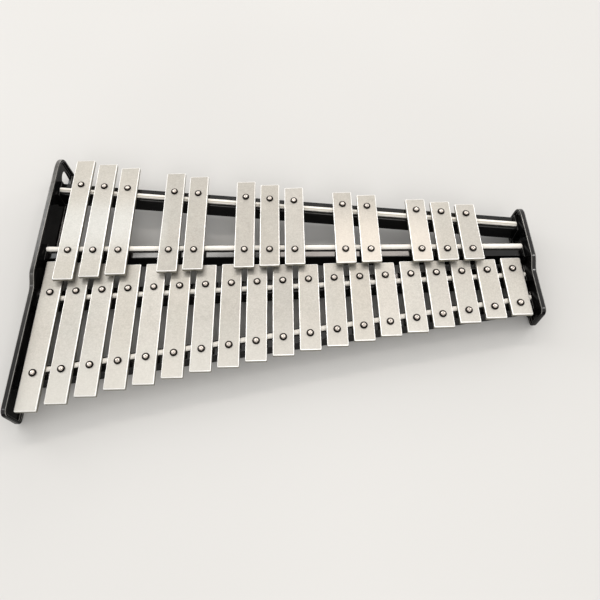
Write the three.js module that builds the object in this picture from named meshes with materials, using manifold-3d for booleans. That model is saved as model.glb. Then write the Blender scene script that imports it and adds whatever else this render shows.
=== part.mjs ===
// Bell kit (glockenspiel): two rows of flat metal bars on felt-topped rails
// between two moulded end panels. Millimetres, +Z up, +X from the low notes to
// the high notes, +Y from the player to the back. The origin is on the surface
// the feet stand on, under the middle of the object.
import * as THREE from 'three';
import { mergeVertices } from 'three/addons/utils/BufferGeometryUtils.js';
import Module from 'manifold-3d';

const wasm = await Module();
wasm.setup();

// ---- driving dimensions -----------------------------------------------------
const PITCH = 31.63;            // natural bar to natural bar, along X
const BAR_W = 25.0;             // bar width
const BAR_T = 5.0;              // bar thickness
const BAR_L0 = 193.8;           // length of the lowest bar; a semitone is 2^(-1/24)
const BAR_HOLE_R = 2.4;         // hole in a bar for its screw
const NAT_TOP = 36.0;           // height of the natural bars' top faces
const ACC_TOP = 45.7;           // height of the accidental bars' top faces
const FELT_R = 3.1;             // felt cord under the bars
const REST_GAP = 0.3;           // between faces that touch on the real object
const RAIL_W = 19.0, RAIL_H = 21.5;
const GROOVE_DEPTH = 1.0;       // how far the felt cord sinks into its rail
const FELT_TO_OUTER = 12.8;     // felt cord's centre line to the rail's outer edge
const SHANK_R = 1.25, HEAD_R = 3.0, HEAD_H = 1.5, HEAD_LIFT = 1.0, SHANK_IN = 9.0;
const PANEL_OUT = 308.0;        // outer face of the left end panel, from the middle bar
const RIGHT_MORE = 2.5;         // the right end of the frame stands this much further out
const more = (side) => (side > 0 ? RIGHT_MORE : 0);
const WEB_T = 3.0;              // panel web
const RIM_W = 6.0;              // width of the flange round a panel's edge
const RIM_T = 3.2;              // thickness of that flange
const PANEL_Z0 = 2.0;           // underside of the panels, above the feet's plane
const RIM_FRONT = 43.0, RIM_REAR = 51.6;   // heights of the panels' top edges
const SOCKET_X = 300.0;         // inner ends of the rail sockets
const SOCKET_WALL = 2.2;
const RAIL_END = 302.8;         // rail ends, inside the sockets
const FELT_END = 299.6;         // felt cords end against the sockets
const BOLT_R = 1.8, BOLT_HEAD_R = 3.6, BOLT_LEN = 17.0, BOLT_CSK = 1.8;
const FOOT_L = 24.0, FOOT_W = 5.2, FOOT_H = 1.7;
const OPENING_Y = 218.0, OPENING_Z = 19.0, OPENING_R = 13.0, OPENING_FLOOR = 6.0;  // opening in the left panel
const Y_MID = 57.75;            // middle of the object, from the natural row's datum

// Lines of screws. y is measured from the middle of the natural row at its tenth bar.
const ROWS = {
  natural_rear:     { y: (x) =>  37.95 + 0.031 * x, felt: (x) => -4.7,              out: +1, top: NAT_TOP },
  natural_front:    { y: (x) => -37.95 + 0.130 * x, felt: (x) => 7.2 + 0.0057 * x,  out: -1, top: NAT_TOP },
  accidental_rear:  { y: (x) => 154.30 - 0.124 * x, felt: (x) => -4.7,              out: +1, top: ACC_TOP },
  accidental_front: { y: (x) =>  77.10 - 0.024 * x, felt: (x) => 7.8 + 0.0030 * x,  out: -1, top: ACC_TOP },
};

// name, place along the row in pitches, semitones above the lowest bar
const NATURALS = [
  ['f5', 0, 0], ['g5', 1, 2], ['a5', 2, 4], ['b5', 3, 6], ['c6', 4, 7], ['d6', 5, 9], ['e6', 6, 11],
  ['f6', 7, 12], ['g6', 8, 14], ['a6', 9, 16], ['b6', 10, 18], ['c7', 11, 19], ['d7', 12, 21],
  ['e7', 13, 23], ['f7', 14, 24], ['g7', 15, 26], ['a7', 16, 28], ['b7', 17, 30], ['c8', 18, 31],
];
const ACCIDENTALS = [
  ['f_sharp_5', 0.5, 1], ['g_sharp_5', 1.5, 3], ['a_sharp_5', 2.5, 5], ['c_sharp_6', 4.5, 8],
  ['d_sharp_6', 5.5, 10], ['f_sharp_6', 7.5, 13], ['g_sharp_6', 8.5, 15], ['a_sharp_6', 9.5, 17],
  ['c_sharp_7', 11.5, 20], ['d_sharp_7', 12.5, 22], ['f_sharp_7', 14.5, 25], ['g_sharp_7', 15.5, 27],
  ['a_sharp_7', 16.5, 29],
];

// ---- materials ---------------------------------------------------------------
const aluminium = () => new THREE.MeshStandardMaterial({ color: 0xcfccc4, roughness: 0.38, metalness: 0.95 });
const lacquer = () => new THREE.MeshStandardMaterial({ color: 0x0b0b0c, roughness: 0.22, metalness: 0.0 });
const moulded = () => new THREE.MeshStandardMaterial({ color: 0x0d0d0e, roughness: 0.3, metalness: 0.0 });
const felt = () => new THREE.MeshStandardMaterial({ color: 0xe9e1d6, roughness: 0.95, metalness: 0.0 });
const rubber = () => new THREE.MeshStandardMaterial({ color: 0x161616, roughness: 0.85, metalness: 0.0 });
const steel = () => new THREE.MeshStandardMaterial({ color: 0xb9b7b3, roughness: 0.3, metalness: 1.0 });

// ---- helpers -------------------------------------------------------------------
function solid(geometry) {
  const g = geometry.clone();
  g.deleteAttribute('normal');
  g.deleteAttribute('uv');
  const m = mergeVertices(g, 1e-4);
  return new wasm.Manifold(new wasm.Mesh({
    numProp: 3,
    vertProperties: new Float32Array(m.attributes.position.array),
    triVerts: new Uint32Array(m.index.array),
  }));
}
function geometryOf(manifold) {
  const mesh = manifold.getMesh();
  const g = new THREE.BufferGeometry();
  g.setAttribute('position', new THREE.BufferAttribute(new Float32Array(mesh.vertProperties), 3));
  g.setIndex(new THREE.BufferAttribute(new Uint32Array(mesh.triVerts), 1));
  g.computeVertexNormals();
  return g;
}
// a section drawn in (Y, Z) carried along X from x0 to x1
function alongX(shape, x0, x1, curveSegments = 12) {
  const g = new THREE.ExtrudeGeometry(shape, { depth: x1 - x0, bevelEnabled: false, steps: 1, curveSegments });
  g.applyMatrix4(new THREE.Matrix4().set(0, 0, 1, x0, 1, 0, 0, 0, 0, 1, 0, 0, 0, 0, 0, 1));
  return g;
}
function box(x0, x1, y0, y1, z0, z1) {
  const g = new THREE.BoxGeometry(x1 - x0, y1 - y0, z1 - z0);
  g.translate((x0 + x1) / 2, (y0 + y1) / 2, (z0 + z1) / 2);
  return g;
}
const Y = (y) => y - Y_MID;
const model = new THREE.Group();
function add(name, geometry, material, position) {
  const mesh = new THREE.Mesh(geometry, material);
  mesh.name = name;
  if (position) mesh.position.set(...position);
  mesh.position.x -= RIGHT_MORE / 2;   // the origin is under the middle of the whole, not under the middle bar
  model.add(mesh);
  return mesh;
}

// felt cord's centre line and rail's centre line in a row, at x
const feltY = (row, x) => Y(row.y(x) + row.felt(x));
const railY = (row, x) => feltY(row, x) + row.out * (FELT_TO_OUTER - RAIL_W / 2);
const feltZ = (row) => row.top - BAR_T - REST_GAP - FELT_R;
const railTop = (row) => feltZ(row) - FELT_R + GROOVE_DEPTH - REST_GAP;
const barX = (place) => (place - 9) * PITCH;

// ---- bars ----------------------------------------------------------------------
function bar(name, place, semitones, front, rear) {
  const x = barX(place);
  const length = BAR_L0 * Math.pow(2, -semitones / 24);
  const middle = (front.y(x) + rear.y(x)) / 2;
  const s = new THREE.Shape();
  s.moveTo(-BAR_W / 2, -length / 2);
  s.lineTo(BAR_W / 2, -length / 2);
  s.lineTo(BAR_W / 2, length / 2);
  s.lineTo(-BAR_W / 2, length / 2);
  s.closePath();
  for (const row of [front, rear]) {
    const hole = new THREE.Path();
    hole.absarc(0, row.y(x) - middle, BAR_HOLE_R, 0, Math.PI * 2, true);
    s.holes.push(hole);
  }
  const g = new THREE.ExtrudeGeometry(s, { depth: BAR_T, bevelEnabled: false, steps: 1, curveSegments: 5 });
  add('bar_' + name, g, aluminium(), [x, Y(middle), front.top - BAR_T]);
}
for (const [n, p, st] of NATURALS) bar(n, p, st, ROWS.natural_front, ROWS.natural_rear);
for (const [n, p, st] of ACCIDENTALS) bar(n, p, st, ROWS.accidental_front, ROWS.accidental_rear);

// ---- rails, each with its row of bar screws, and their felt cords ----------------
function sheared(geometry, line, x0, x1) {
  // turns a piece built on y = 0 along X into one that follows the line
  const slope = (line(x1) - line(x0)) / (x1 - x0);
  geometry.applyMatrix4(new THREE.Matrix4().set(1, 0, 0, 0, slope, 1, 0, line(0), 0, 0, 1, 0, 0, 0, 0, 1));
  return geometry;
}
function screw(zTop) {
  // shank and low domed head; zTop is the bar's top face
  const h = zTop + HEAD_LIFT;
  const pts = [[0, zTop - BAR_T - SHANK_IN - 2 * FELT_R], [SHANK_R, zTop - BAR_T - SHANK_IN - 2 * FELT_R], [SHANK_R, h],
    [HEAD_R, h], [HEAD_R, h + 0.3 * HEAD_H], [HEAD_R * 0.72, h + 0.8 * HEAD_H], [0, h + HEAD_H]];
  const g = new THREE.LatheGeometry(pts.map(([r, z]) => new THREE.Vector2(r, z)), 8);
  g.rotateX(Math.PI / 2);
  return g;
}
for (const [name, row] of Object.entries(ROWS)) {
  const zt = railTop(row), zb = zt - RAIL_H, w = RAIL_W / 2;
  const gc = -row.out * (FELT_TO_OUTER - w);       // groove's centre, from the rail's centre
  const gr = FELT_R + REST_GAP;
  const half = Math.sqrt(gr * gr - (gr - GROOVE_DEPTH) * (gr - GROOVE_DEPTH));
  const s = new THREE.Shape();
  s.moveTo(-w, zb);
  s.lineTo(w, zb);
  s.lineTo(w, zt);
  const a = Math.acos((gr - GROOVE_DEPTH) / gr);
  for (let i = 0; i <= 6; i++) {
    const t = a - (2 * a * i) / 6;
    s.lineTo(gc + gr * Math.sin(t), zt - GROOVE_DEPTH + gr - gr * Math.cos(t));
  }
  s.lineTo(-w, zt);
  s.closePath();
  let rail = solid(sheared(alongX(s, -RAIL_END, RAIL_END + RIGHT_MORE), (x) => railY(row, x), -RAIL_END, RAIL_END + RIGHT_MORE));
  const zc = (zt + zb) / 2;
  for (const side of [-1, 1]) {
    const end = RAIL_END + more(side), y = railY(row, side * end);
    const hole = new THREE.CylinderGeometry(BOLT_R + 0.35, BOLT_R + 0.35, 16, 12);
    hole.rotateZ(Math.PI / 2);
    hole.translate(side * (end - 7), y, zc);
    rail = rail.subtract(solid(hole));
  }
  const list = name.startsWith('natural') ? NATURALS : ACCIDENTALS;
  for (const [, place] of list) {
    const x = barX(place);
    const g = screw(row.top);
    g.translate(x, Y(row.y(x)), 0);
    rail = rail.add(solid(g));
  }
  add('rail_' + name, geometryOf(rail), lacquer());

  const f = new THREE.Shape();
  for (let i = 0; i < 12; i++) {
    const t = (i + 0.5) * Math.PI / 6;
    const y = FELT_R * Math.cos(t), z = feltZ(row) + FELT_R * Math.sin(t);
    if (i) f.lineTo(y, z); else f.moveTo(y, z);
  }
  f.closePath();
  add('felt_cord_' + name, sheared(alongX(f, -FELT_END, FELT_END + RIGHT_MORE), (x) => feltY(row, x), -FELT_END, FELT_END + RIGHT_MORE), felt());
}

// ---- end panels -------------------------------------------------------------------
// Outline of a panel in (Y, Z): front end, where the top edge steps up, rear end.
// The front and rear corners of the top edge are rounded over these lengths.
function outline({ front, frontRound, stepLow, stepHigh, rear, rearRound }, inset) {
  const i = inset, s = new THREE.Shape();
  const zb = PANEL_Z0 + i, zf = RIM_FRONT - i, zr = RIM_REAR - i;
  const yf = Y(front) + i, yr = Y(rear) - i;
  s.moveTo(yf + 5.5, zb);
  s.quadraticCurveTo(yf - 0.9, zb, yf - 1.0, zb + 6.5);
  s.lineTo(yf - 1.0, RIM_FRONT - frontRound);
  s.quadraticCurveTo(yf - 1.0, zf, yf - 1.0 + frontRound, zf);
  const a = Y(stepLow) - 0.3 * i, b = Y(stepHigh) + 0.3 * i;
  s.lineTo(a, zf);
  s.bezierCurveTo(a + 0.45 * (b - a), zf, a + 0.55 * (b - a), zr, b, zr);
  s.lineTo(yr - rearRound, zr);
  s.quadraticCurveTo(yr - 1, zr, yr, 33);
  s.lineTo(yr + 2.4, zb + 6);
  s.quadraticCurveTo(yr + 2.4, zb, yr - 4, zb);
  s.closePath();
  return s;
}
function panel(name, side, shape) {
  const out = PANEL_OUT + more(side), socket = SOCKET_X + more(side), end = RAIL_END + more(side);
  const X = (a, b) => (side > 0 ? [a, b] : [-b, -a]);
  let p = solid(alongX(outline(shape, 0), ...X(out - RIM_W, out), 6));
  p = p.subtract(solid(alongX(outline(shape, RIM_T), ...X(out - RIM_W - 1, out - WEB_T), 6)));
  for (const row of Object.values(ROWS)) {
    const zt = railTop(row), zb = zt - RAIL_H, y = railY(row, side * (socket + end) / 2), w = RAIL_W / 2;
    p = p.add(solid(box(...X(socket, out - WEB_T + 0.5), y - w - 0.5 - SOCKET_WALL, y + w + 0.5 + SOCKET_WALL,
      Math.max(zb - SOCKET_WALL, PANEL_Z0 + 0.5), zt + SOCKET_WALL)));
    p = p.subtract(solid(box(...X(socket - 1, end + 0.4), y - w - 0.5, y + w + 0.5, zb - 0.4, zt + 0.4)));
  }
  for (const row of Object.values(ROWS)) {
    const zc = railTop(row) - RAIL_H / 2, y = railY(row, side * end);
    const r1 = BOLT_R + 0.35, r2 = BOLT_HEAD_R + 0.35, e = out;
    const pts = [[0, e - WEB_T - 3], [r1, e - WEB_T - 3], [r1, e - BOLT_CSK], [r2, e], [r2, e + 1], [0, e + 1]];
    const hole = new THREE.LatheGeometry(pts.map(([r, t]) => new THREE.Vector2(r, t)), 12);
    hole.rotateZ(-Math.PI / 2);
    if (side < 0) hole.rotateZ(Math.PI);
    hole.translate(0, y, zc);
    p = p.subtract(solid(hole));
  }
  if (side < 0) {
    // round-topped opening through the tall rear corner
    const o = new THREE.Shape();
    const yc = Y(OPENING_Y), r = OPENING_R;
    o.moveTo(yc - r, OPENING_FLOOR);
    o.lineTo(yc + r, OPENING_FLOOR);
    o.lineTo(yc + r, OPENING_Z);
    for (let i = 1; i <= 12; i++) o.lineTo(yc + r * Math.cos(Math.PI * i / 12), OPENING_Z + r * Math.sin(Math.PI * i / 12));
    o.closePath();
    p = p.subtract(solid(alongX(o, -out - 1, -out + WEB_T + 1)));
  }
  add(name, geometryOf(p), moulded());
}
panel('end_panel_left', -1, { front: -124.5, frontRound: 9, stepLow: 27, stepHigh: 55, rear: 238.6, rearRound: 28 });
panel('end_panel_right', 1, { front: -17.25, frontRound: 8, stepLow: 36, stepHigh: 60, rear: 134.0, rearRound: 18 });

// ---- bolts that hold the rails' ends in the panels -----------------------------------
for (const [name, row] of Object.entries(ROWS)) {
  for (const side of [-1, 1]) {
    const e = PANEL_OUT + more(side) - 0.1;
    const pts = [[0, e - BOLT_LEN + 4], [BOLT_R, e - BOLT_LEN + 4], [BOLT_R, e - BOLT_CSK], [BOLT_HEAD_R, e], [0, e]];
    const g = new THREE.LatheGeometry(pts.map(([r, t]) => new THREE.Vector2(r, t)), 12);
    g.rotateZ(-Math.PI / 2);
    if (side < 0) g.rotateZ(Math.PI);
    add(`rail_bolt_${name}_${side < 0 ? 'left' : 'right'}`, g, steel(),
      [0, railY(row, side * (RAIL_END + more(side))), railTop(row) - RAIL_H / 2]);
  }
}

// ---- feet ------------------------------------------------------------------------------
for (const [name, side, y] of [['foot_front_left', -1, -98], ['foot_rear_left', -1, 214], ['foot_front_right', 1, 6], ['foot_rear_right', 1, 106]]) {
  const s = new THREE.Shape(), r = FOOT_W / 2, h = FOOT_L / 2 - r;
  s.moveTo(r, -h);
  s.lineTo(r, h);
  s.absarc(0, h, r, 0, Math.PI, false);
  s.lineTo(-r, -h);
  s.absarc(0, -h, r, Math.PI, Math.PI * 2, false);
  const g = new THREE.ExtrudeGeometry(s, { depth: FOOT_H, bevelEnabled: false, steps: 1, curveSegments: 6 });
  add(name, g, rubber(), [side * (PANEL_OUT + more(side) - RIM_W / 2), Y(y), 0]);
}

export default model;
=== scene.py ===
# Bell kit (glockenspiel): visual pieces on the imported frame. Metres, +Z up.
import math
import random
import bpy
import bmesh
from mathutils import Matrix, Vector, noise


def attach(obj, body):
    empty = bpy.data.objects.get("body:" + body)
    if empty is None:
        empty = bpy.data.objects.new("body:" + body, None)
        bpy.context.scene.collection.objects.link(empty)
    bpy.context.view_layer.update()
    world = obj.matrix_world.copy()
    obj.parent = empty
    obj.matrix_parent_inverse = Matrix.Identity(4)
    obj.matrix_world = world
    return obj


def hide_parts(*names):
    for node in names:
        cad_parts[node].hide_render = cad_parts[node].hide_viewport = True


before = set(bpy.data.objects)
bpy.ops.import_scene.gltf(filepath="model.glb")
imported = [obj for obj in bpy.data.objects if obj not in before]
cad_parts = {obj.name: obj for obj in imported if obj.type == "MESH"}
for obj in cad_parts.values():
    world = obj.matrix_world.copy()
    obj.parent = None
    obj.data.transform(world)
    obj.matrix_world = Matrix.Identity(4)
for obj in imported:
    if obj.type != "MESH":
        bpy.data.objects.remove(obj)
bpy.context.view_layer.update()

MM = 0.001
scene = bpy.context.scene

# ------------------------------------------------------------------ camera
cam_data = bpy.data.cameras.new("view")
cam_data.sensor_fit = "HORIZONTAL"
cam_data.sensor_width = 36.0
cam_data.lens = 36.0 * 547.776 / 600.0
cam_data.clip_start, cam_data.clip_end = 0.02, 40.0
cam = bpy.data.objects.new("view", cam_data)
scene.collection.objects.link(cam)


def rotation(v):
    a = Vector(v)
    return Matrix.Rotation(a.length, 3, a.normalized())


R = rotation((2.65764, -0.03337, -0.00596))          # world to camera: x right, y down, z forward
T = (Vector((-21.24808, -25.12645, 715.12299)) + R @ Vector((1.25, 0, 0))) * MM
here = -(R.transposed() @ T)
turn = R.transposed() @ Matrix(((1, 0, 0), (0, -1, 0), (0, 0, -1)))
cam.matrix_world = Matrix.Translation(here) @ turn.to_4x4()
scene.camera = cam

# ------------------------------------------------------------------ dimensions (mm, as in the part)
PITCH, BAR_W, BAR_T, BAR_L0, HOLE_R = 31.63, 25.0, 5.0, 193.8, 2.4
FELT_R, REST_GAP = 3.1, 0.3
RAIL_W, RAIL_H, GROOVE, FELT_TO_OUTER = 19.0, 21.5, 1.0, 12.8
SHANK_R, HEAD_R, HEAD_H, HEAD_LIFT = 1.25, 3.0, 1.5, 1.0
PANEL_OUT, WEB_T, RIM_W, RIM_T, PANEL_Z0 = 308.0, 3.0, 6.0, 3.2, 2.0
RIM_FRONT, RIM_REAR, SOCKET_X, SOCKET_WALL, RAIL_END, FELT_END = 43.0, 51.6, 300.0, 2.2, 302.8, 299.6
BOLT_R, BOLT_HEAD_R, BOLT_CSK = 1.8, 3.6, 1.8
FOOT_L, FOOT_W, FOOT_H = 24.0, 5.2, 1.7
OPENING_Y, OPENING_Z, OPENING_R, OPENING_FLOOR = 218.0, 19.0, 13.0, 6.0
RIGHT_MORE = 2.5
X_MID = RIGHT_MORE / 2
Y_MID = 57.75
ROWS = {
    "natural_rear": dict(y=lambda x: 37.95 + 0.031 * x, felt=lambda x: -4.7, out=1, top=36.0),
    "natural_front": dict(y=lambda x: -37.95 + 0.130 * x, felt=lambda x: 7.2 + 0.0057 * x, out=-1, top=36.0),
    "accidental_rear": dict(y=lambda x: 154.30 - 0.124 * x, felt=lambda x: -4.7, out=1, top=45.7),
    "accidental_front": dict(y=lambda x: 77.10 - 0.024 * x, felt=lambda x: 7.8 + 0.0030 * x, out=-1, top=45.7),
}
NATURALS = [("f5", 0, 0), ("g5", 1, 2), ("a5", 2, 4), ("b5", 3, 6), ("c6", 4, 7), ("d6", 5, 9), ("e6", 6, 11),
            ("f6", 7, 12), ("g6", 8, 14), ("a6", 9, 16), ("b6", 10, 18), ("c7", 11, 19), ("d7", 12, 21),
            ("e7", 13, 23), ("f7", 14, 24), ("g7", 15, 26), ("a7", 16, 28), ("b7", 17, 30), ("c8", 18, 31)]
ACCIDENTALS = [("f_sharp_5", 0.5, 1), ("g_sharp_5", 1.5, 3), ("a_sharp_5", 2.5, 5), ("c_sharp_6", 4.5, 8),
               ("d_sharp_6", 5.5, 10), ("f_sharp_6", 7.5, 13), ("g_sharp_6", 8.5, 15), ("a_sharp_6", 9.5, 17),
               ("c_sharp_7", 11.5, 20), ("d_sharp_7", 12.5, 22), ("f_sharp_7", 14.5, 25), ("g_sharp_7", 15.5, 27),
               ("a_sharp_7", 16.5, 29)]


def Y(y):
    return y - Y_MID


def more(side):
    return RIGHT_MORE if side > 0 else 0.0


def felt_y(row, x):
    return Y(row["y"](x) + row["felt"](x))


def rail_y(row, x):
    return felt_y(row, x) + row["out"] * (FELT_TO_OUTER - RAIL_W / 2)


def felt_z(row):
    return row["top"] - BAR_T - REST_GAP - FELT_R


def rail_top(row):
    return felt_z(row) - FELT_R + GROOVE - REST_GAP


def bar_x(place):
    return (place - 9) * PITCH


# ------------------------------------------------------------------ materials
class Nodes:
    """Short hand for a node tree."""

    def __init__(self, name):
        self.mat = bpy.data.materials.new(name)
        self.mat.use_nodes = True
        self.t = self.mat.node_tree
        self.t.nodes.clear()
        self.out = self.t.nodes.new("ShaderNodeOutputMaterial")
        self.b = self.t.nodes.new("ShaderNodeBsdfPrincipled")
        self.t.links.new(self.b.outputs[0], self.out.inputs[0])
        self.coord = self.t.nodes.new("ShaderNodeTexCoord").outputs["Object"]

    def put(self, socket, value):
        if isinstance(value, bpy.types.NodeSocket):
            self.t.links.new(value, socket)
        else:
            socket.default_value = value

    def set(self, **kw):
        for k, v in kw.items():
            self.put(self.b.inputs[k.replace("_", " ")], v)

    def mapped(self, scale, shift=(0, 0, 0)):
        m = self.t.nodes.new("ShaderNodeMapping")
        m.inputs["Scale"].default_value = scale
        m.inputs["Location"].default_value = shift
        self.t.links.new(self.coord, m.inputs["Vector"])
        return m.outputs[0]

    def noise(self, scale, detail=3.0, rough=0.55, vec=None, distort=0.0):
        n = self.t.nodes.new("ShaderNodeTexNoise")
        n.inputs["Scale"].default_value = scale
        n.inputs["Detail"].default_value = detail
        n.inputs["Roughness"].default_value = rough
        n.inputs["Distortion"].default_value = distort
        self.t.links.new(vec if vec is not None else self.coord, n.inputs["Vector"])
        return n.outputs["Fac"]

    def voronoi(self, scale, vec=None, feature="F1", out="Distance"):
        n = self.t.nodes.new("ShaderNodeTexVoronoi")
        n.feature = feature
        n.inputs["Scale"].default_value = scale
        self.t.links.new(vec if vec is not None else self.coord, n.inputs["Vector"])
        return n.outputs[out]

    def math(self, op, a, b=0.0, c=0.0):
        n = self.t.nodes.new("ShaderNodeMath")
        n.operation = op
        for s, v in zip(n.inputs, (a, b, c)):
            self.put(s, v)
        return n.outputs[0]

    def span(self, fac, lo, hi, to_lo=0.0, to_hi=1.0, smooth=False):
        n = self.t.nodes.new("ShaderNodeMapRange")
        n.clamp = True
        if smooth:
            n.interpolation_type = "SMOOTHSTEP"
        for i, v in enumerate((fac, lo, hi, to_lo, to_hi)):
            self.put(n.inputs[i], v)
        return n.outputs[0]

    def mix(self, fac, a, b, blend="MIX"):
        n = self.t.nodes.new("ShaderNodeMix")
        n.data_type = "RGBA"
        n.blend_type = blend
        self.put(n.inputs["Factor"], fac)
        ins = [s for s in n.inputs if s.type == "RGBA"]
        self.put(ins[0], a)
        self.put(ins[1], b)
        return [s for s in n.outputs if s.type == "RGBA"][0]

    def attribute(self, name):
        n = self.t.nodes.new("ShaderNodeAttribute")
        n.attribute_name = name
        return n.outputs["Color"]

    def bump(self, height, distance, strength=1.0, normal=None):
        n = self.t.nodes.new("ShaderNodeBump")
        n.inputs["Strength"].default_value = strength
        n.inputs["Distance"].default_value = distance
        self.t.links.new(height, n.inputs["Height"])
        if normal is not None:
            self.t.links.new(normal, n.inputs["Normal"])
        self.t.links.new(n.outputs[0], self.b.inputs["Normal"])
        return n.outputs[0]


def rgb(r, g, b):
    return (r, g, b, 1.0)


def metal_face():
    n = Nodes("satin_aluminium")
    cloud = n.noise(30.0, 3.0, 0.55)
    warm = n.noise(17.0, 2.0, 0.5, n.mapped((1, 1, 1), (3.1, 0.7, 0)))
    cool = n.noise(21.0, 2.0, 0.5, n.mapped((1, 1, 1), (0.4, 5.2, 0)))
    blot = n.noise(190.0, 4.0, 0.70)
    grain = n.noise(520.0, 3.0, 0.75)
    fine = n.noise(1500.0, 2.0, 0.6)
    base = n.mix(n.span(cloud, 0.30, 0.72), rgb(0.572, 0.546, 0.498), rgb(0.588, 0.563, 0.518))
    base = n.mix(n.span(warm, 0.50, 0.74, 0, 0.45), base, rgb(0.588, 0.546, 0.498))
    base = n.mix(n.span(cool, 0.50, 0.76, 0, 0.45), base, rgb(0.552, 0.552, 0.516))
    base = n.mix(n.span(blot, 0.34, 0.68, 0.0, 0.34), base, rgb(0.480, 0.460, 0.420))
    base = n.mix(n.span(grain, 0.36, 0.64, 0.0, 0.60), base, rgb(0.440, 0.420, 0.380))
    base = n.mix(n.span(fine, 0.35, 0.70, 0.0, 0.25), base, rgb(0.688, 0.668, 0.628))
    smudge = n.noise(95.0, 4.0, 0.65, None, 0.6)
    rubbed = n.span(n.noise(26.0, 3.0, 0.6, n.mapped((1, 1, 1), (9.0, 2.0, 0))), 0.57, 0.68, 0.0, 1.0)
    base = n.mix(n.math("MULTIPLY", rubbed, n.span(smudge, 0.50, 0.62, 0.0, 0.28)), base, rgb(0.400, 0.384, 0.352))
    base = n.mix(1.0, base, n.attribute("tone"), "MULTIPLY")
    # painted reflections: two bright patches across the upper row of bars, a cool one on the left and a warm one on the
    # right
    at = n.t.nodes.new("ShaderNodeSeparateXYZ")
    n.t.links.new(n.coord, at.inputs[0])
    upper = n.span(at.outputs[2], 0.0440, 0.0450)
    away = n.math("ABSOLUTE", n.math("SUBTRACT", at.outputs[1], 0.062))
    left = n.math("MULTIPLY", upper, n.span(at.outputs[0], -0.165, -0.145, 1.0, 0.0))
    left = n.math("MULTIPLY", left, n.span(away, 0.008, 0.056, 0.20, 0.0, True))
    right = n.math("MULTIPLY", upper, n.span(at.outputs[0], 0.055, 0.070))
    right = n.math("MULTIPLY", right, n.span(at.outputs[0], 0.185, 0.200, 1.0, 0.0))
    right = n.math("MULTIPLY", right, n.span(at.outputs[1], 0.030, 0.098, 0.35, 0.0, True))
    # painted highlight: the lower row is a little paler toward its front ends
    along = n.math("ADD", n.math("ADD", at.outputs[1], 0.05775), n.math("MULTIPLY", at.outputs[0], -0.0805))
    along = n.math("DIVIDE", along, n.math("ADD", n.math("MULTIPLY", at.outputs[0], -0.20), 0.131))
    front = n.math("MULTIPLY", n.math("SUBTRACT", 1.0, upper), n.span(along, -0.48, -0.02, 1.0, 0.0))
    front = n.math("MULTIPLY", front, n.span(at.outputs[0], -0.30, 0.15, 0.55, 0.24))
    # painted highlight mixed in toward the lower row's front ends
    base = n.mix(front, base, rgb(0.72, 0.705, 0.665))
    # painted reflections mixed into the base colour: cool patch on the left, warm patch on the right
    base = n.mix(left, base, rgb(0.84, 0.90, 0.93))
    base = n.mix(right, base, rgb(0.93, 0.85, 0.76))
    r = n.math("ADD", n.span(smudge, 0.30, 0.75, 0.50, 0.56), n.span(grain, 0.3, 0.7, -0.04, 0.04))
    n.set(Base_Color=base, Metallic=1.0, Roughness=r)
    n.bump(n.math("ADD", n.math("MULTIPLY", grain, 0.8), n.math("MULTIPLY", fine, 0.4)), 0.00010, 0.55)
    return n.mat


def metal_edge():
    n = Nodes("painted_highlight_edge_aluminium")
    nick = n.noise(260.0, 4.0, 0.7)
    # painted highlight: the bevelled edges get a near-white base so they read as bright lines
    base = n.mix(n.span(nick, 0.35, 0.65), rgb(1.0, 0.995, 0.98), rgb(0.93, 0.92, 0.89))
    n.set(Base_Color=base, Metallic=1.0, Roughness=n.span(nick, 0.3, 0.7, 0.30, 0.42))
    n.bump(nick, 0.00008, 0.4)
    return n.mat


def metal_side():
    n = Nodes("mill_side_aluminium")
    lines = n.noise(1.0, 3.0, 0.6, n.mapped((90, 90, 3200)))
    ends = n.noise(1.0, 3.0, 0.6, n.mapped((1800, 1800, 300)))
    cloud = n.noise(60.0, 3.0, 0.6)
    base = n.mix(n.span(lines, 0.25, 0.75), rgb(0.270, 0.258, 0.215), rgb(0.390, 0.375, 0.325))
    base = n.mix(n.span(cloud, 0.35, 0.7, 0, 0.5), base, rgb(0.34, 0.335, 0.30))
    n.set(Base_Color=base, Metallic=1.0, Roughness=n.span(ends, 0.3, 0.7, 0.42, 0.58))
    n.bump(n.math("ADD", n.math("MULTIPLY", lines, 0.7), n.math("MULTIPLY", ends, 0.4)), 0.00010, 0.6)
    return n.mat


def nickel():
    n = Nodes("nickel_plate")
    cloud = n.noise(420.0, 3.0, 0.6)
    base = n.mix(n.span(cloud, 0.3, 0.7), rgb(0.92, 0.87, 0.82), rgb(0.76, 0.70, 0.65))
    base = n.mix(1.0, base, n.attribute("tone"), "MULTIPLY")
    n.set(Base_Color=base, Metallic=1.0, Roughness=n.span(cloud, 0.3, 0.7, 0.20, 0.34))
    n.bump(n.noise(2500.0, 2.0, 0.6), 0.00004, 0.5)
    return n.mat


def black_rubber(name="black_rubber", dark=(0.0030, 0.0025, 0.0023), light=(0.0080, 0.0062, 0.0052), rough=(0.55, 0.75), spec=0.10):
    n = Nodes(name)
    cloud = n.noise(330.0, 4.0, 0.65)
    speck = n.noise(2600.0, 2.0, 0.6)
    base = n.mix(n.span(cloud, 0.35, 0.7), rgb(*dark), rgb(*light))
    n.set(Base_Color=base, Roughness=n.span(cloud, 0.3, 0.7, *rough), Specular_IOR_Level=spec)
    n.bump(speck, 0.00010, 0.5)
    return n.mat


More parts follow.
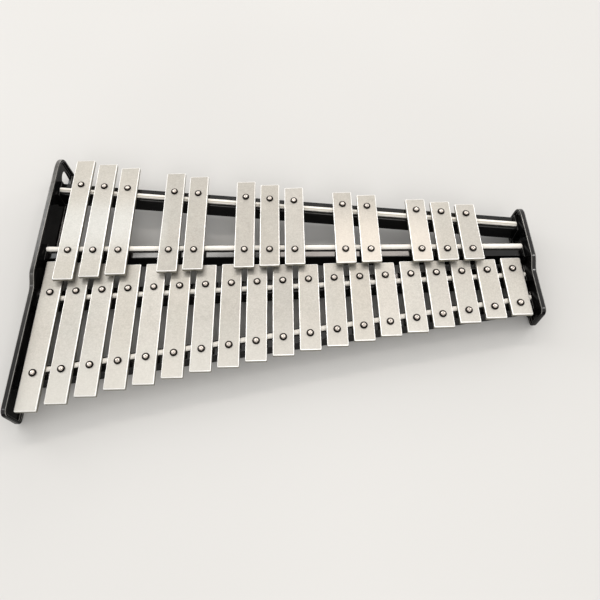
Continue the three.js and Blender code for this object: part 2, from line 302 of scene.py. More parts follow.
def lacquer(name="black_lacquer", level=0.5, haze=1.0):
    n = Nodes(name)
    cloud = n.noise(26.0, 4.0, 0.6)
    peel = n.noise(420.0, 2.0, 0.5)
    dust = n.voronoi(520.0)
    speck = n.span(dust, 0.05, 0.14, 1.0, 0.0)
    speck = n.math("MULTIPLY", speck, n.span(n.noise(60.0, 3.0, 0.6), 0.45, 0.62))
    base = n.mix(n.span(cloud, 0.3, 0.75), rgb(0.0018, 0.0018, 0.0020), rgb(0.0040, 0.0038, 0.0036))
    base = n.mix(n.math("MULTIPLY", speck, 0.35), base, rgb(0.12, 0.11, 0.10))
    film = n.noise(70.0, 4.0, 0.7, n.mapped((0.4, 1, 1)))
    base = n.mix(n.span(film, 0.52, 0.80, 0.0, 0.25 * haze), base, rgb(0.030, 0.026, 0.023))
    r = n.math("ADD", n.span(film, 0.35, 0.8, 0.06, 0.16), n.math("MULTIPLY", speck, 0.25))
    n.set(Base_Color=base, Roughness=r, Specular_IOR_Level=level)
    n.bump(peel, 0.00002, 0.30)
    return n.mat


def moulded(name="moulded_black_plastic", level=0.50):
    n = Nodes(name)
    grain = n.voronoi(900.0, None, "SMOOTH_F1")
    cloud = n.noise(34.0, 4.0, 0.6)
    scuff = n.noise(1.0, 4.0, 0.7, n.mapped((260, 40, 120)))
    base = n.mix(n.span(cloud, 0.3, 0.75), rgb(0.0022, 0.0022, 0.0024), rgb(0.0050, 0.0048, 0.0046))
    base = n.mix(n.span(scuff, 0.58, 0.78, 0.0, 0.30), base, rgb(0.040, 0.037, 0.034))
    # painted highlights and reflection: edges and the rim's upward faces are paler, standing in for light they catch
    geo = n.t.nodes.new("ShaderNodeNewGeometry").outputs["Normal"]
    sep = n.t.nodes.new("ShaderNodeSeparateXYZ")
    n.t.links.new(geo, sep.inputs[0])
    nx, nz = n.math("ABSOLUTE", sep.outputs[0]), sep.outputs[2]
    edge = n.math("MULTIPLY", n.span(nx, 0.22, 0.50), n.span(nx, 0.72, 0.95, 1.0, 0.0))
    edge = n.math("MULTIPLY", edge, n.span(nz, 0.10, 0.40))
    edge = n.math("MULTIPLY", edge, n.span(n.noise(1.0, 4.0, 0.7, n.mapped((300, 60, 300))), 0.30, 0.62, 0.25, 1.0))
    place = n.t.nodes.new("ShaderNodeSeparateXYZ")
    n.t.links.new(n.coord, place.inputs[0])
    # painted reflection: the rim top is paler toward the rear and much fainter on the right panel; the dust mask here
    # carries this painted reflection
    top = n.math("MULTIPLY", n.span(nz, 0.55, 0.85), n.span(place.outputs[2], 0.0395, 0.0415))
    dust = n.span(place.outputs[1], -0.10, 0.16, 0.004, 0.135)
    dust = n.math("MULTIPLY", dust, n.span(place.outputs[0], -0.1, 0.1, 1.0, 0.16))
    dust = n.math("MULTIPLY", dust, n.span(n.noise(1.0, 5.0, 0.7, n.mapped((220, 90, 220))), 0.30, 0.70, 0.45, 1.25))
    painted_rim_reflection = n.mix(top, base, n.mix(dust, rgb(0.0, 0.0, 0.0), rgb(1.0, 0.96, 0.90)))
    base = n.mix(n.math("MULTIPLY", edge, 0.80), painted_rim_reflection, rgb(0.40, 0.385, 0.36))
    r = n.math("ADD", n.span(cloud, 0.3, 0.7, 0.065, 0.125), n.span(scuff, 0.5, 0.8, 0.0, 0.14))
    n.set(Base_Color=base, Roughness=r, Specular_IOR_Level=level)
    n.bump(n.math("ADD", n.math("MULTIPLY", grain, 0.6), n.math("MULTIPLY", n.noise(180.0, 2.0), 0.8)), 0.00007, 0.25)
    return n.mat


def wool_felt():
    n = Nodes("cream_felt")
    fibre = n.noise(1.0, 5.0, 0.72, n.mapped((700, 1900, 1900)), 1.4)
    clump = n.noise(330.0, 4.0, 0.65, None, 0.8)
    stain = n.noise(24.0, 3.0, 0.55)
    base = n.mix(n.span(clump, 0.3, 0.72), rgb(0.93, 0.88, 0.80), rgb(1.0, 0.975, 0.92))
    base = n.mix(n.span(fibre, 0.40, 0.75, 0.0, 0.65), base, rgb(0.99, 0.97, 0.94))
    base = n.mix(n.span(stain, 0.50, 0.74, 0.0, 0.25), base, rgb(0.88, 0.81, 0.75))
    base = n.mix(1.0, base, n.attribute("tone"), "MULTIPLY")
    n.set(Base_Color=base, Roughness=n.span(fibre, 0.3, 0.7, 0.82, 0.98), Specular_IOR_Level=0.2,
          Sheen_Weight=0.25, Sheen_Roughness=0.5)
    n.b.inputs["Sheen Tint"].default_value = rgb(1.0, 0.97, 0.93)
    n.bump(n.math("ADD", fibre, n.math("MULTIPLY", clump, 0.6)), 0.00030, 0.7)
    return n.mat


def zinc_steel():
    n = Nodes("zinc_steel")
    cloud = n.noise(300.0, 4.0, 0.6)
    ring = n.noise(1500.0, 2.0, 0.6)
    base = n.mix(n.span(cloud, 0.3, 0.7), rgb(0.62, 0.61, 0.59), rgb(0.45, 0.45, 0.44))
    n.set(Base_Color=base, Metallic=1.0, Roughness=n.span(cloud, 0.3, 0.7, 0.25, 0.42))
    n.bump(ring, 0.00005, 0.5)
    return n.mat


def floor_material():
    n = Nodes("pale_floor")
    base = n.mix(n.span(n.noise(1.2, 2.0), 0.3, 0.7), rgb(0.625, 0.62, 0.61), rgb(0.66, 0.655, 0.645))
    # paler away from the lamps, so that the backdrop has no dark band
    at = n.t.nodes.new("ShaderNodeSeparateXYZ")
    n.t.links.new(n.coord, at.inputs[0])
    far = n.math("SQRT", n.math("ADD", n.math("MULTIPLY", at.outputs[0], at.outputs[0]), n.math("MULTIPLY", at.outputs[1], at.outputs[1])))
    base = n.mix(n.span(far, 1.7, 3.6, 0.0, 1.0, True), base, rgb(0.985, 0.98, 0.965))
    n.set(Base_Color=base, Roughness=0.9, Specular_IOR_Level=0.1)
    return n.mat


M_FACE, M_EDGE, M_SIDE = metal_face(), metal_edge(), metal_side()
M_NICKEL, M_GROMMET, M_RAIL = nickel(), black_rubber("grommet_rubber"), lacquer()
M_PANEL, M_FELT, M_BOLT = moulded(), wool_felt(), zinc_steel()
# painted shade: darker, near-matte copies of the lacquer and the moulded plastic for faces that sit in shade (the
# rails' sides, the panels' inner and front faces)
M_RAIL_SIDE, M_WEB = lacquer("black_lacquer_side", 0.07, 0.1), moulded("moulded_black_web", 0.05)
M_FOOT = black_rubber("foot_rubber", (0.008, 0.008, 0.008), (0.020, 0.019, 0.018), (0.65, 0.9), 0.3)


# ------------------------------------------------------------------ mesh helpers
def make(name, verts, faces, mats, body, index=None, smooth=True, angle=35.0, tone=None):
    """A mesh piece from points in millimetres."""
    me = bpy.data.meshes.new(name)
    me.from_pydata([((x - X_MID) * MM, y * MM, z * MM) for x, y, z in verts], [], faces)
    for m in mats:
        me.materials.append(m)
    if index is not None:
        me.polygons.foreach_set("material_index", index)
    bm = bmesh.new()
    bm.from_mesh(me)
    bmesh.ops.recalc_face_normals(bm, faces=bm.faces)
    bm.to_mesh(me)
    bm.free()
    if tone is not None:
        a = me.color_attributes.new("tone", "FLOAT_COLOR", "POINT")
        flat = []
        for i in range(len(me.vertices)):
            flat.extend(tone[i] if isinstance(tone, list) else tone)
        a.data.foreach_set("color", flat)
    ob = bpy.data.objects.new(name, me)
    scene.collection.objects.link(ob)
    shade(ob, smooth, angle)
    if body:
        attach(ob, body)
    return ob


def shade(ob, smooth=True, angle=35.0):
    me = ob.data
    me.polygons.foreach_set("use_smooth", [smooth] * len(me.polygons))
    if smooth:
        me.set_sharp_from_angle(angle=math.radians(angle))
    me.update()


class Build:
    """Collects the points and faces of one piece."""

    def __init__(self):
        self.v, self.f, self.m = [], [], []

    def add(self, verts, faces, mat=0):
        o = len(self.v)
        self.v.extend(verts)
        for f in faces:
            self.f.append([o + i for i in f])
            self.m.append(mat)

    def loft(self, rings, cap0=True, cap1=True, mat=0, close=False):
        n = len(rings[0])
        verts = [p for r in rings for p in r]
        faces = []
        k = len(rings)
        for i in range(k if close else k - 1):
            a, b = i * n, ((i + 1) % k) * n
            for j in range(n):
                j2 = (j + 1) % n
                faces.append([a + j, a + j2, b + j2, b + j])
        if not close:
            if cap0:
                faces.append(list(range(n))[::-1])
            if cap1:
                faces.append([(k - 1) * n + j for j in range(n)])
        self.add(verts, faces, mat)


def lathe_rings(profile, cx, cy, n):
    """Rings about a vertical axis, from (radius, z) pairs."""
    return [[(cx + r * math.cos(2 * math.pi * j / n), cy + r * math.sin(2 * math.pi * j / n), z) for j in range(n)]
            for r, z in profile]


def rounded_rect(w, h, r, seg=3):
    """Outline of a rectangle with round corners, counter-clockwise, about the origin."""
    pts = []
    for cx, cy, a0 in ((w / 2 - r, h / 2 - r, 0), (-w / 2 + r, h / 2 - r, 90), (-w / 2 + r, -h / 2 + r, 180),
                       (w / 2 - r, -h / 2 + r, 270)):
        for i in range(seg + 1):
            a = math.radians(a0 + 90 * i / seg)
            pts.append((cx + r * math.cos(a), cy + r * math.sin(a)))
    return pts


# ------------------------------------------------------------------ bars
# painted reflection: per-bar brightness factors, multiplied into each bar's tone, for how much room light each bar
# seems to reflect
PAINTED_BAR_SHEEN = {"f5": 0.94, "g5": 0.94, "a5": 0.94, "b5": 0.89, "c6": 0.94, "d6": 0.88, "e6": 0.89, "f6": 0.82, "g6": 0.88, "a6": 0.81,
          "b6": 0.91, "c7": 0.92, "d7": 0.95, "e7": 1.04, "f7": 1.04, "g7": 1.0, "a7": 1.04, "b7": 1.03, "c8": 1.07,
          "f_sharp_5": 0.87, "g_sharp_5": 0.86, "a_sharp_5": 0.88, "c_sharp_6": 0.80, "d_sharp_6": 0.78, "f_sharp_6": 0.78,
          "g_sharp_6": 0.80, "a_sharp_6": 0.84, "c_sharp_7": 0.82, "d_sharp_7": 0.86, "f_sharp_7": 0.93, "g_sharp_7": 0.99,
          "a_sharp_7": 0.97}


def bar_piece(note, place, semis, front, rear):
    rng = random.Random("bar" + note)
    x = bar_x(place)
    length = BAR_L0 * 2 ** (-semis / 24)
    yf, yr = Y(front["y"](x)), Y(rear["y"](x))
    yc, z1 = (yf + yr) / 2, front["top"]
    z0 = z1 - BAR_T
    bt, bb, cr = 1.0, 0.4, 1.1
    levels = [(bb + 0.12, z0), (bb, z0), (bb * 0.30, z0 + bb * 0.30), (0.0, z0 + bb), (0.0, z0 + bb + 0.12),
              (0.0, z1 - bt - 0.12), (0.0, z1 - bt), (bt * 0.14, z1 - bt * 0.50), (bt * 0.40, z1 - bt * 0.22),
              (bt * 0.70, z1 - bt * 0.06), (bt, z1), (bt + 0.12, z1)]
    finish = (0, 1, 1, 2, 2, 2, 1, 1, 1, 1, 0)
    b = Build()
    rings = []
    for inset, z in levels:
        ring = [(x + px, yc + py, z) for px, py in rounded_rect(BAR_W - 2 * inset, length - 2 * inset, cr - inset * 0.6, 4)]
        rings.append(ring)
    n = len(rings[0])
    verts = [p for r in rings for p in r]
    b.v.extend(verts)
    for i in range(len(rings) - 1):
        for j in range(n):
            j2 = (j + 1) % n
            b.f.append([i * n + j, i * n + j2, (i + 1) * n + j2, (i + 1) * n + j])
            b.m.append(finish[i])
    # top and bottom faces, each in two halves that meet on the centre line, round both holes
    seg = 24
    for top in (True, False):
        base = (len(rings) - 1) * n if top else 0
        z = z1 if top else z0
        ring = rings[-1] if top else rings[0]
        ys = [p[1] for p in ring]
        ymax, ymin = max(ys), min(ys)
        front_mid, rear_mid = len(b.v), len(b.v) + 1
        b.v.extend([(x, ymin, z), (x, ymax, z)])
        holes = []
        for hy in (yf, yr):
            o = len(b.v)
            b.v.extend([(x + HOLE_R * math.cos(2 * math.pi * k / seg), hy + HOLE_R * math.sin(2 * math.pi * k / seg), z)
                        for k in range(seg)])
            holes.append(o)
        hf, hr = holes
        q = n // 4                       # corner order: ++, -+, --, +-
        right = [base + j for j in range(3 * q, 4 * q)] + [base + j for j in range(0, q)]
        left = [base + j for j in range(q, 3 * q)]
        east = lambda o: [o + k % seg for k in range(-seg // 4, seg // 4 + 1)]            # -90 to 90 degrees
        west = lambda o: [o + k % seg for k in range(seg // 4, 3 * seg // 4 + 1)]         # 90 to 270
        face_r = [front_mid] + right + [rear_mid] + east(hr)[::-1] + east(hf)[::-1]
        face_l = [rear_mid] + left + [front_mid] + west(hf)[::-1] + west(hr)[::-1]
        for f in (face_r, face_l):
            b.f.append(f if top else f[::-1])
            b.m.append(0)
        if top:
            tops = holes
        else:
            for t, u in zip(tops, holes):
                for k in range(seg):
                    k2 = (k + 1) % seg
                    b.f.append([t + k, t + k2, u + k2, u + k])
                    b.m.append(2)
    # the centre-line points belong to the top ring's end edges too
    d = rng.uniform(-0.022, 0.022)
    w = rng.uniform(-0.010, 0.010)
    # the per-bar painted reflection factor from the table above scales this bar's tone
    k = (0.985 + d) * PAINTED_BAR_SHEEN.get(note, 1.0)
    tone = (k + w * 0.6, k, k - w, 1.0)
    ob = make("plate_" + note, b.v, b.f, [M_FACE, M_EDGE, M_SIDE], "bar_%s_body" % note, b.m, True, 50.0, tone)
    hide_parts("bar_" + note)
    # grommets: a flanged sleeve in each hole
    g = Build()
    for hy in (yf, yr):
        prof = [(1.6, z1 - 4.9), (2.34, z1 - 4.9), (2.34, z1 + 0.02), (4.38, z1 + 0.02), (4.50, z1 + 0.16), (4.52, z1 + 0.60),
                (4.44, z1 + 1.00), (4.24, z1 + 1.28), (3.95, z1 + 1.42), (3.62, z1 + 1.40), (3.34, z1 + 1.22), (3.18, z1 + 0.92),
                (3.14, z1 + 0.55), (3.02, z1 + 0.42), (2.3, z1 + 0.40), (1.85, z1 + 0.34), (1.6, z1 + 0.05)]
        g.loft(lathe_rings(prof, x, hy, 32), close=True)
    ob = make("grommets_" + note, g.v, g.f, [M_GROMMET], "bar_%s_body" % note, None, True, 40.0, None)
    return ob


for note, place, semis in NATURALS:
    bar_piece(note, place, semis, ROWS["natural_front"], ROWS["natural_rear"])
for note, place, semis in ACCIDENTALS:
    bar_piece(note, place, semis, ROWS["accidental_front"], ROWS["accidental_rear"])


# ------------------------------------------------------------------ screws
def cross_recess(px, py, turn_angle, reach, width, depth):
    c, s = math.cos(turn_angle), math.sin(turn_angle)
    u, v = abs(px * c + py * s), abs(-px * s + py * c)
    a, bb = max(u, v), min(u, v)
    k = max(0.0, min(1.0, (reach - a) / (0.35 * reach))) * max(0.0, min(1.0, (width - bb) / (0.45 * width)))
    return -depth * k


def screw_mesh(build, cx, cy, z_top, rng):
    h = z_top + HEAD_LIFT
    z_bottom = z_top - 13.0
    n = 32
    prof = [(0.0001, z_bottom), (SHANK_R, z_bottom), (SHANK_R, h), (HEAD_R - 0.18, h), (HEAD_R, h + 0.14), (HEAD_R, h + 0.30)]
    steps = 12
    for i in range(1, steps + 1):
        a = math.pi / 2 * i / steps
        prof.append((max(HEAD_R * math.cos(a), 0.0001), h + 0.30 + (HEAD_H - 0.30) * math.sin(a)))
    rings = lathe_rings(prof, cx, cy, n)
    t = rng.uniform(0, math.pi / 2)
    for i in range(6, len(rings)):
        rings[i] = [(px, py, pz + cross_recess(px - cx, py - cy, t, 1.45, 0.42, 0.75)) for px, py, pz in rings[i]]
    build.loft(rings)
    # painted shade: the plating is darkened and tinted brown down the dome's slope toward its rim and in the cross
    # recess
    tones = []
    for ring in rings:
        for px, py, pz in ring:
            rr = math.hypot(px - cx, py - cy)
            k = 1.0 - 0.70 * max(0.0, min(1.0, (rr - 1.45) / 1.35))
            if rr < 0.55:
                k = 0.42
            tones.append((k, k * (0.90 + 0.10 * k), k * (0.80 + 0.20 * k), 1.0))
    return tones


for name, row in ROWS.items():
    notes = NATURALS if name.startswith("natural") else ACCIDENTALS
    rng = random.Random("screws" + name)
    s, tones = Build(), []
    for note, place, _ in notes:
        x = bar_x(place)
        tones += screw_mesh(s, x, Y(row["y"](x)), row["top"], rng)
    make("bar_screws_" + name, s.v, s.f, [M_NICKEL], "root", None, True, 50.0, tones)


# ------------------------------------------------------------------ rails and felt cords
def rail_profile(row):
    """Section in (y from the rail's centre, z), counter-clockwise seen from +X, with small round edges."""
    zt = rail_top(row)
    zb, w = zt - RAIL_H, RAIL_W / 2
    gc = -row["out"] * (FELT_TO_OUTER - w)
    gr = FELT_R + REST_GAP
    a = math.acos((gr - GROOVE) / gr)
    r = 0.9
    pts = []

    def corner(cy, cz, a0, a1, k=5):
        for i in range(k + 1):
            t = math.radians(a0 + (a1 - a0) * i / k)
            pts.append((cy + r * math.cos(t), cz + r * math.sin(t)))

    s, h = 0.15, gr * math.sin(a)
    corner(-w + r, zb + r, 180, 270)
    pts.append((-w + r + s, zb))
    pts.append((w - r - s, zb))
    corner(w - r, zb + r, 270, 360)
    pts.append((w, zb + r + s))
    pts.append((w, zt - r - s))
    corner(w - r, zt - r, 0, 90)
    pts.append((w - r - s, zt))
    pts.append((gc + h + s, zt))
    for i in range(11):
        t = a - 2 * a * i / 10
        pts.append((gc + gr * math.sin(t), zt - GROOVE + gr - gr * math.cos(t)))
    pts.append((gc - h - s, zt))
    pts.append((-w + r + s, zt))
    corner(-w + r, zt - r, 90, 180)
    pts.append((-w, zt - r - s))
    pts.append((-w, zb + r + s))
    return pts


for name, row in ROWS.items():
    prof = rail_profile(row)
    rings = []
    steps = 40
    for i in range(steps + 1):
        x = -RAIL_END + (2 * RAIL_END + RIGHT_MORE) * i / steps
        yc = rail_y(row, x)
        rings.append([(x, yc + py, pz) for py, pz in prof])
    b = Build()
    b.loft(rings)
    ob = make("lacquered_rail_" + name, b.v, b.f, [M_RAIL, M_RAIL_SIDE], "root", None, True, 40.0, None)
    # painted shade: faces that do not face up get the darker, near-matte lacquer copy
    for f in ob.data.polygons:
        f.material_index = 0 if f.normal.z > 0.3 else 1
    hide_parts("rail_" + name)

    # the felt cord: round, a little lumpy, pressed where a bar lies on it
    notes = NATURALS if name.startswith("natural") else ACCIDENTALS
    xs = [bar_x(p) for _, p, _ in notes]
    sides, pitch = 36, 1.5
    run = 2 * FELT_END + RIGHT_MORE
    count = int(run / pitch)
    rings, tones = [], []
    seam = name == "accidental_rear"
    seed = Vector((7.3 * len(name), 2.1, 0.4))
    for i in range(count + 1):
        x = -FELT_END + run * i / count
        yc, zc = felt_y(row, x), felt_z(row)
        near = min(abs(x - bx) for bx in xs)
        press = max(0.0, min(1.0, (BAR_W / 2 + 2.5 - near) / 2.5))
        end = max(0.0, 1.0 - min(x + FELT_END, FELT_END + RIGHT_MORE - x) / 0.8)
        ring = []
        for k in range(sides):
            t = 2 * math.pi * k / sides
            lump = noise.fractal(Vector((x * 0.16, math.cos(t) * 0.9, math.sin(t) * 0.9)) + seed, 1.0, 2.0, 3)
            fuzz = noise.noise(Vector((x * 0.75, math.cos(t) * 2.6, math.sin(t) * 2.6)) + seed)
            r = FELT_R - 0.10 + 0.13 * lump + 0.06 * fuzz - 0.35 * end * end
            py, pz = r * math.cos(t), r * math.sin(t)
            limit = FELT_R - 0.05 - 0.28 * press
            if pz > limit:
                pz = limit + 0.25 * (pz - limit)
            shade_k = 1.0
            if seam:
                deg = math.degrees(math.atan2(pz, py)) % 360
                gap = abs(deg - 132)
                if gap < 17:
                    dip = min(1.0, 1.5 * (1.0 - gap / 17))
                    py *= 1 - 0.10 * dip
                    pz *= 1 - 0.10 * dip
                    shade_k = 1.0 - 0.50 * dip
            ring.append((x, yc + py, zc + pz))
            tones.append((shade_k, shade_k * (0.97 if shade_k < 1 else 1.0), shade_k * (0.90 if shade_k < 1 else 1.0), 1.0))
        rings.append(ring)
    b = Build()
    b.loft(rings)
    ob = make("felt_" + name, b.v, b.f, [M_FELT], "root", None, True, 60.0, tones)
    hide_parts("felt_cord_" + name)


# ------------------------------------------------------------------ end panels
def quad_curve(p0, p1, p2, n):
    return [((1 - t) ** 2 * p0[0] + 2 * (1 - t) * t * p1[0] + t * t * p2[0],
             (1 - t) ** 2 * p0[1] + 2 * (1 - t) * t * p1[1] + t * t * p2[1]) for t in [i / n for i in range(n + 1)]]


def cubic_curve(p0, p1, p2, p3, n):
    out = []
    for i in range(n + 1):
        t = i / n
        s = 1 - t
        out.append(tuple(s ** 3 * a + 3 * s * s * t * b + 3 * s * t * t * c + t ** 3 * d for a, b, c, d in zip(p0, p1, p2, p3)))
    return out


def outline(front, front_round, step_low, step_high, rear, rear_round):
    zb, zf, zr = PANEL_Z0, RIM_FRONT, RIM_REAR
    yf, yr, a, b = Y(front), Y(rear), Y(step_low), Y(step_high)
    pts = quad_curve((yf + 5.5, zb), (yf - 0.9, zb), (yf - 1.0, zb + 6.5), 8)
    pts += quad_curve((yf - 1.0, zf - front_round), (yf - 1.0, zf), (yf - 1.0 + front_round, zf), 14)
    pts += cubic_curve((a, zf), (a + 0.45 * (b - a), zf), (a + 0.55 * (b - a), zr), (b, zr), 16)
    pts += quad_curve((yr - rear_round, zr), (yr - 1, zr), (yr, 33), 18)
    pts += quad_curve((yr + 2.4, zb + 6), (yr + 2.4, zb), (yr - 4, zb), 8)
    return pts


def inset_ring(pts, d):
    """Moves each point of a clockwise outline inward by d."""
    out = []
    n = len(pts)
    for i in range(n):
        (x0, y0), (x1, y1), (x2, y2) = pts[i - 1], pts[i], pts[(i + 1) % n]
        a = Vector((x1 - x0, y1 - y0))
        b = Vector((x2 - x1, y2 - y1))
        a.normalize()
        b.normalize()
        na, nb = Vector((a.y, -a.x)), Vector((b.y, -b.x))
        m = (na + nb).normalized()
        k = max(0.5, m.dot(na))
        out.append((x1 + m.x * d / k, y1 + m.y * d / k))
    return out


def boolean(ob, other, op):
    m = ob.modifiers.new("cut", "BOOLEAN")
    m.operation, m.solver, m.object = op, "EXACT", other
    dg = bpy.context.evaluated_depsgraph_get()
    me = bpy.data.meshes.new_from_object(ob.evaluated_get(dg), depsgraph=dg)
    ob.modifiers.clear()
    old = ob.data
    ob.data = me
    bpy.data.meshes.remove(old)
    bpy.data.objects.remove(other)


def loose(build, name):
    me = bpy.data.meshes.new(name)
    me.from_pydata([((x - X_MID) * MM, y * MM, z * MM) for x, y, z in build.v], [], build.f)
    bm = bmesh.new()
    bm.from_mesh(me)
    bmesh.ops.recalc_face_normals(bm, faces=bm.faces)
    bm.to_mesh(me)
    bm.free()
    ob = bpy.data.objects.new(name, me)
    scene.collection.objects.link(ob)
    return ob


def panel_piece(name, node, side, *shape):
    base = outline(*shape)
    e, socket, rail_end = PANEL_OUT + more(side), SOCKET_X + more(side), RAIL_END + more(side)
    stations = [(e, 1.5), (e - 0.10, 0.85), (e - 0.42, 0.36), (e - 0.95, 0.08), (e - 1.5, 0.0),
                (e - 1.65, 0.0), (e - RIM_W + 1.15, 0.0), (e - RIM_W + 1.0, 0.0), (e - RIM_W + 0.5, 0.10), (e - RIM_W + 0.15, 0.38), (e - RIM_W, 0.85),
                (e - RIM_W, RIM_T - 0.75), (e - RIM_W + 0.15, RIM_T - 0.32), (e - RIM_W + 0.5, RIM_T - 0.08),
                (e - RIM_W + 0.9, RIM_T), (e - WEB_T - 1.0, RIM_T), (e - WEB_T - 0.55, RIM_T + 0.12),
                (e - WEB_T - 0.2, RIM_T + 0.42), (e - WEB_T, RIM_T + 1.0), (e - WEB_T, RIM_T + 1.15)]
    rings = []
    for x, d in stations:
        ring = inset_ring(base, d)
        rings.append([(side * x, y, z) for y, z in ring])
    b = Build()
    b.loft(rings)
    ob = loose(b, name)
    # sockets that the rails' ends stand in
    s = Build()
    for row in ROWS.values():
        zt = rail_top(row)
        zb, yc, w = zt - RAIL_H, rail_y(row, side * (socket + rail_end) / 2), RAIL_W / 2
        zlo, zhi = max(zb - SOCKET_WALL, PANEL_Z0 + 0.5), zt + SOCKET_WALL
        ow, oh, oz = 2 * (w + 0.5 + SOCKET_WALL), zhi - zlo, (zhi + zlo) / 2
        iw, ih, iz = 2 * (w + 0.5), RAIL_H + 0.8, (zt + zb) / 2
        lv = [(e - WEB_T + 0.6, ow, oh, oz, 1.4), (socket + 0.7, ow, oh, oz, 1.4), (socket + 0.2, ow - 0.28, oh - 0.28, oz, 1.3),
              (socket, ow - 0.9, oh - 0.9, oz, 1.1), (socket, iw + 0.7, ih + 0.7, iz, 0.9), (socket + 0.2, iw + 0.2, ih + 0.2, iz, 0.7),
              (socket + 0.6, iw, ih, iz, 0.6), (rail_end + 0.4, iw, ih, iz, 0.6)]
        s.loft([[(side * x, yc + py, z + pz) for py, pz in rounded_rect(ww, hh, rr, 4)] for x, ww, hh, z, rr in lv])
    boolean(ob, loose(s, "sockets"), "UNION")
    c = Build()
    for row in ROWS.values():
        zc, yc = rail_top(row) - RAIL_H / 2, rail_y(row, side * rail_end)
        r1, r2 = BOLT_R + 0.35, BOLT_HEAD_R + 0.30
        prof = [(r1, e - WEB_T - 3), (r1, e - BOLT_CSK), (r2, e - 0.05), (r2 + 0.25, e + 0.5)]
        c.loft([[(side * x, yc + r * math.cos(2 * math.pi * j / 32), zc + r * math.sin(2 * math.pi * j / 32)) for j in range(32)]
                for r, x in prof])
    if side < 0:
        yc, r, zf, zc = Y(OPENING_Y), OPENING_R, OPENING_FLOOR, OPENING_Z
        pts = [(yc - r + 1.2, zf), (yc + r - 1.2, zf), (yc + r - 0.35, zf + 0.35), (yc + r, zf + 1.2), (yc + r, zc)]
        pts += [(yc + r * math.cos(math.pi * i / 24), zc + r * math.sin(math.pi * i / 24)) for i in range(1, 24)]
        pts += [(yc - r, zc), (yc - r, zf + 1.2), (yc - r + 0.35, zf + 0.35)]
        c.loft([[(-x, y, z) for y, z in pts] for x in (e + 1, e - WEB_T - 1.5)])
    boolean(ob, loose(c, "holes"), "DIFFERENCE")
    ob.data.name = name
    ob.data.materials.clear()
    ob.data.materials.append(M_PANEL)
    ob.data.materials.append(M_WEB)
    # painted shade: the inner and front faces get the near-matte plastic copy so they stay dark
    for f in ob.data.polygons:
        f.material_index = 1 if -side * f.normal.x > 0.97 or f.normal.y < -0.75 else 0
    shade(ob, True, 32.0)
    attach(ob, "root")
    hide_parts(node)
    return ob


panel_piece("moulded_panel_left", "end_panel_left", -1, -124.5, 9, 27, 55, 238.6, 28)
panel_piece("moulded_panel_right", "end_panel_right", 1, -17.25, 8, 36, 60, 134.0, 18)

# ------------------------------------------------------------------ bolts and feet
for side, word in ((-1, "left"), (1, "right")):
    b = Build()
    rng = random.Random("bolts" + word)
    for row in ROWS.values():
        zc, e = rail_top(row) - RAIL_H / 2, PANEL_OUT + more(side) - 0.1
        yc = rail_y(row, side * (RAIL_END + more(side)))
        prof = [(0.0001, e - 13), (BOLT_R, e - 13), (BOLT_R, e - BOLT_CSK), (BOLT_HEAD_R - 0.12, e - 0.16), (BOLT_HEAD_R - 0.12, e - 0.05),
                (BOLT_HEAD_R - 0.30, e)]
        prof += [(r, e) for r in (2.9, 2.5, 2.1, 1.8, 1.5, 1.2, 0.95, 0.7, 0.45, 0.2, 0.0001)]
        t = rng.uniform(0, math.pi / 2)
        rings = []
        for r, x in prof:
            ring = []
            for j in range(32):
                py, pz = r * math.cos(2 * math.pi * j / 32), r * math.sin(2 * math.pi * j / 32)
                d = cross_recess(py, pz, t, 2.1, 0.55, 1.1) if x >= e and r < 3.0 else 0.0
                ring.append((side * (x + d), yc + py, zc + pz))
            rings.append(ring)
        b.loft(rings)
    ob = make("rail_bolts_" + word, b.v, b.f, [M_BOLT], "root", None, True, 45.0, None)
    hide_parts(*["rail_bolt_%s_%s" % (r, word) for r in ROWS])

    f = Build()
    for y in ((-98, 214) if side < 0 else (6, 106)):
        rings = []
        for inset, z in ((0.55, 0.0), (0.15, 0.15), (0.0, 0.55), (0.0, FOOT_H - 0.02)):
            r, h = FOOT_W / 2 - inset, FOOT_L / 2 - FOOT_W / 2
            ring = [(r * math.cos(math.pi * i / 12), h + r * math.sin(math.pi * i / 12)) for i in range(13)]
            ring += [(r * math.cos(math.pi + math.pi * i / 12), -h + r * math.sin(math.pi + math.pi * i / 12)) for i in range(13)]
            rings.append([(side * (PANEL_OUT + more(side) - RIM_W / 2) + px, Y(y) + py, z) for px, py in ring])
        f.loft(rings)
    ob = make("feet_" + word, f.v, f.f, [M_FOOT], "root", None, True, 40.0, None)
    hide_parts("foot_front_" + word, "foot_rear_" + word)

# ------------------------------------------------------------------ floor and light
fm = bpy.data.meshes.new("floor")
fm.from_pydata([(-12, -12, 0), (12, -12, 0), (12, 12, 0), (-12, 12, 0)], [], [(0, 1, 2, 3)])
fm.materials.append(floor_material())
floor = bpy.data.objects.new("floor", fm)
scene.collection.objects.link(floor)


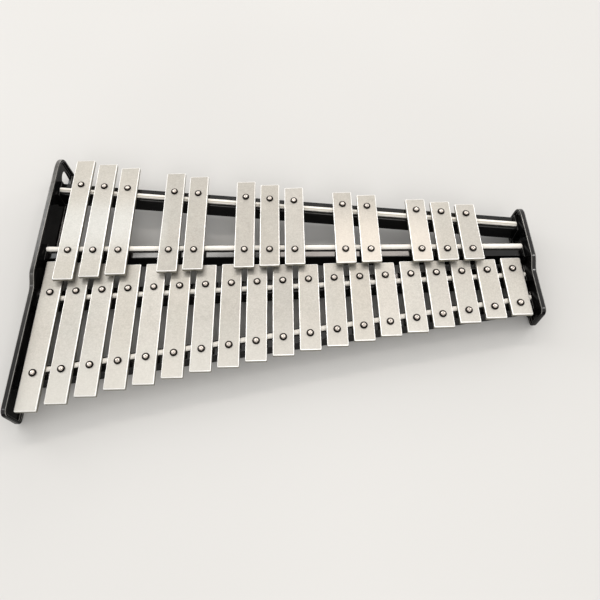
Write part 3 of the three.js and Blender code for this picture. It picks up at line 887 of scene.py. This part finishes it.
def area(name, at, aim, size, size_y, power, colour=(1, 1, 1)):
    d = bpy.data.lights.new(name, "AREA")
    d.shape, d.size, d.size_y, d.energy, d.color = "RECTANGLE", size, size_y, power, colour
    o = bpy.data.objects.new(name, d)
    scene.collection.objects.link(o)
    o.location = at
    o.rotation_euler = (Vector(aim) - Vector(at)).to_track_quat("-Z", "Y").to_euler()
    return o


area("window", (-1.25, 1.25, 1.75), (-0.30, 0.10, 0.0), 0.30, 0.9, 2.0, (0.95, 0.98, 1.0))
area("strip", (-0.54, 1.12, 1.75), (-0.10, 0.02, 0.0), 0.86, 0.16, 4.4, (1.0, 0.97, 0.93))
area("lamp", (0.25, 1.12, 1.75), (0.05, 0.02, 0.0), 0.70, 0.16, 3.7, (1.0, 0.91, 0.84))
area("spot_right", (1.06, 0.15, 1.75), (0.31, 0.0, 0.0), 0.15, 0.15, 1.4, (1.0, 0.98, 0.95))
area("spot_left", (-1.21, -0.22, 1.75), (-0.31, -0.1, 0.0), 0.20, 0.20, 0.6, (1.0, 0.99, 0.98))
area("overhead", (0.0, 0.35, 1.80), (0.0, 0.0, 0.0), 2.2, 0.8, 2.2, (1.0, 0.99, 0.97))
area("key", (0.20, -1.40, 1.15), (0.0, 0.0, 0.0), 0.9, 0.7, 7.0, (1.0, 0.98, 0.95))
area("side_left", (-1.9, 1.1, 0.95), (0.0, 0.0, 0.0), 0.9, 0.7, 8.0, (1.0, 0.99, 0.97))
area("side_right", (1.9, 1.1, 0.95), (0.0, 0.0, 0.0), 0.9, 0.7, 8.0, (1.0, 0.99, 0.97))
area("back", (0.0, 2.4, 0.75), (0.0, 0.0, 0.0), 2.2, 0.4, 7.0, (1.0, 0.99, 0.97))
world = bpy.data.worlds.new("world")
scene.world = world
world.use_nodes = True
bg = world.node_tree.nodes["Background"]
bg.inputs[0].default_value = (1.0, 0.985, 0.96, 1)
bg.inputs[1].default_value = 0.80
scene.view_settings.view_transform = "Standard"
scene.view_settings.look = "None"
scene.view_settings.exposure = 0.0
